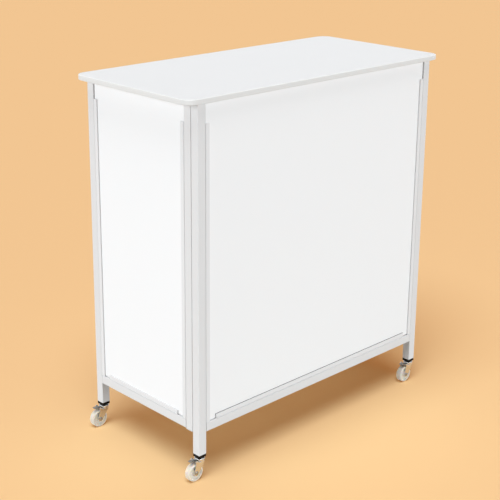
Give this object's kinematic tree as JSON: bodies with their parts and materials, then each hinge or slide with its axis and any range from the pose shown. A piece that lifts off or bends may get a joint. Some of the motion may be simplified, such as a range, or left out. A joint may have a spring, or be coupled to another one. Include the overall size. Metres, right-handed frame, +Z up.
{
  "type": "promotion counter",
  "caption": "White free-standing promotion counter with a rounded worktop, square tube frame, slide-in panels, fold-in side wings and small braked swivel casters.",
  "frame": {"origin": "on the floor under the middle of the counter's box", "axes": "+Z up, front panel faces -Y, the open back faces +Y, +X to the right when seen from the front"},
  "size_m": [0.844, 0.4, 0.891],
  "materials": {
    "white_tube": "white powder coat on square tube, satin",
    "panel_channel": "extruded white PVC profile, smooth",
    "panel_board": "white foamed PVC board, plain, smooth matte face",
    "worktop_laminate": "board faced with white melamine, satin with a very fine grain",
    "edge_band": "2 mm white edging, softly rounded, a little warmer than the face",
    "hinge_steel": "plated steel butt hinge",
    "black_plastic": "black moulded nylon, satin",
    "white_plastic": "white moulded polyethylene plug",
    "zinc_plate": "bright zinc-plated pressed steel",
    "axle_steel": "plated steel axle rivet",
    "wheel_nylon": "milky natural nylon, slightly translucent"
  },
  "bodies": {
    "front_frame": {"front_left_leg": "white_tube", "front_right_leg": "white_tube", "front_bottom_rail": "white_tube", "front_top_rail": "white_tube", "front_left_channel": "panel_channel", "front_right_channel": "panel_channel", "front_bottom_channel": "panel_channel", "front_panel": "panel_board", "left_lower_hinge_leg_leaf": "hinge_steel", "left_upper_hinge_leg_leaf": "hinge_steel", "right_lower_hinge_leg_leaf": "hinge_steel", "right_upper_hinge_leg_leaf": "hinge_steel", "front_left_caster_cap": "black_plastic", "front_left_caster_head": "zinc_plate", "front_right_caster_cap": "black_plastic", "front_right_caster_head": "zinc_plate"},
    "worktop": {"worktop_board": "worktop_laminate", "worktop_edge_band": "edge_band"},
    "left_wing": {"left_stile": "white_tube", "rear_left_leg": "white_tube", "left_stile_plug": "white_plastic", "left_bottom_rail": "white_tube", "left_top_rail": "white_tube", "left_stile_channel": "panel_channel", "left_leg_channel": "panel_channel", "left_bottom_channel": "panel_channel", "left_panel": "panel_board", "left_lower_hinge_wing_leaf": "hinge_steel", "left_upper_hinge_wing_leaf": "hinge_steel", "rear_left_caster_cap": "black_plastic", "rear_left_caster_head": "zinc_plate"},
    "right_wing": {"right_stile": "white_tube", "rear_right_leg": "white_tube", "right_stile_plug": "white_plastic", "right_bottom_rail": "white_tube", "right_top_rail": "white_tube", "right_stile_channel": "panel_channel", "right_leg_channel": "panel_channel", "right_bottom_channel": "panel_channel", "right_panel": "panel_board", "right_lower_hinge_wing_leaf": "hinge_steel", "right_upper_hinge_wing_leaf": "hinge_steel", "rear_right_caster_cap": "black_plastic", "rear_right_caster_head": "zinc_plate"},
    "front_left_fork": {"front_left_caster_fork": "zinc_plate", "front_left_caster_axle": "axle_steel"},
    "front_left_wheel": {"front_left_caster_wheel": "wheel_nylon"},
    "front_left_brake": {"front_left_caster_brake": "zinc_plate"},
    "front_right_fork": {"front_right_caster_fork": "zinc_plate", "front_right_caster_axle": "axle_steel"},
    "front_right_wheel": {"front_right_caster_wheel": "wheel_nylon"},
    "front_right_brake": {"front_right_caster_brake": "zinc_plate"},
    "rear_left_fork": {"rear_left_caster_fork": "zinc_plate", "rear_left_caster_axle": "axle_steel"},
    "rear_left_wheel": {"rear_left_caster_wheel": "wheel_nylon"},
    "rear_left_brake": {"rear_left_caster_brake": "zinc_plate"},
    "rear_right_fork": {"rear_right_caster_fork": "zinc_plate", "rear_right_caster_axle": "axle_steel"},
    "rear_right_wheel": {"rear_right_caster_wheel": "wheel_nylon"},
    "rear_right_brake": {"rear_right_caster_brake": "zinc_plate"}
  },
  "joints": [
    {"name": "left_wing_fold", "type": "hinge", "parent": "front_frame", "child": "left_wing", "pos_m": [-0.3641, -0.1685, 0.5], "axis": [0, 0, -1], "range_deg": [0, 90]},
    {"name": "right_wing_fold", "type": "hinge", "parent": "front_frame", "child": "right_wing", "pos_m": [0.3641, -0.1685, 0.5], "axis": [0, 0, 1], "range_deg": [0, 90]},
    {"name": "worktop_lift", "type": "slide", "parent": "front_frame", "child": "worktop", "axis": [0, 0, 1], "range_m": [0, 0.03]},
    {"name": "front_left_swivel", "type": "hinge", "parent": "front_frame", "child": "front_left_fork", "pos_m": [-0.379, -0.18, 0.05], "axis": [0, 0, 1], "continuous": true},
    {"name": "front_left_wheel_spin", "type": "hinge", "parent": "front_left_fork", "child": "front_left_wheel", "pos_m": [-0.397, -0.18, 0.0215], "axis": [0, 1, 0], "continuous": true},
    {"name": "front_left_brake_press", "type": "hinge", "parent": "front_left_fork", "child": "front_left_brake", "pos_m": [-0.395, -0.18, 0.0482], "axis": [0, -1, 0], "range_deg": [0, 25]},
    {"name": "front_right_swivel", "type": "hinge", "parent": "front_frame", "child": "front_right_fork", "pos_m": [0.379, -0.18, 0.05], "axis": [0, 0, 1], "continuous": true},
    {"name": "front_right_wheel_spin", "type": "hinge", "parent": "front_right_fork", "child": "front_right_wheel", "pos_m": [0.361, -0.18, 0.0215], "axis": [0, 1, 0], "continuous": true},
    {"name": "front_right_brake_press", "type": "hinge", "parent": "front_right_fork", "child": "front_right_brake", "pos_m": [0.363, -0.18, 0.0482], "axis": [0, -1, 0], "range_deg": [0, 25]},
    {"name": "rear_left_swivel", "type": "hinge", "parent": "left_wing", "child": "rear_left_fork", "pos_m": [-0.379, 0.18, 0.05], "axis": [0, 0, 1], "continuous": true},
    {"name": "rear_left_wheel_spin", "type": "hinge", "parent": "rear_left_fork", "child": "rear_left_wheel", "pos_m": [-0.397, 0.18, 0.0215], "axis": [0, 1, 0], "continuous": true},
    {"name": "rear_left_brake_press", "type": "hinge", "parent": "rear_left_fork", "child": "rear_left_brake", "pos_m": [-0.395, 0.18, 0.0482], "axis": [0, -1, 0], "range_deg": [0, 25]},
    {"name": "rear_right_swivel", "type": "hinge", "parent": "right_wing", "child": "rear_right_fork", "pos_m": [0.379, 0.18, 0.05], "axis": [0, 0, 1], "continuous": true},
    {"name": "rear_right_wheel_spin", "type": "hinge", "parent": "rear_right_fork", "child": "rear_right_wheel", "pos_m": [0.361, 0.18, 0.0215], "axis": [0, 1, 0], "continuous": true},
    {"name": "rear_right_brake_press", "type": "hinge", "parent": "rear_right_fork", "child": "rear_right_brake", "pos_m": [0.363, 0.18, 0.0482], "axis": [0, -1, 0], "range_deg": [0, 25]}
  ]
}
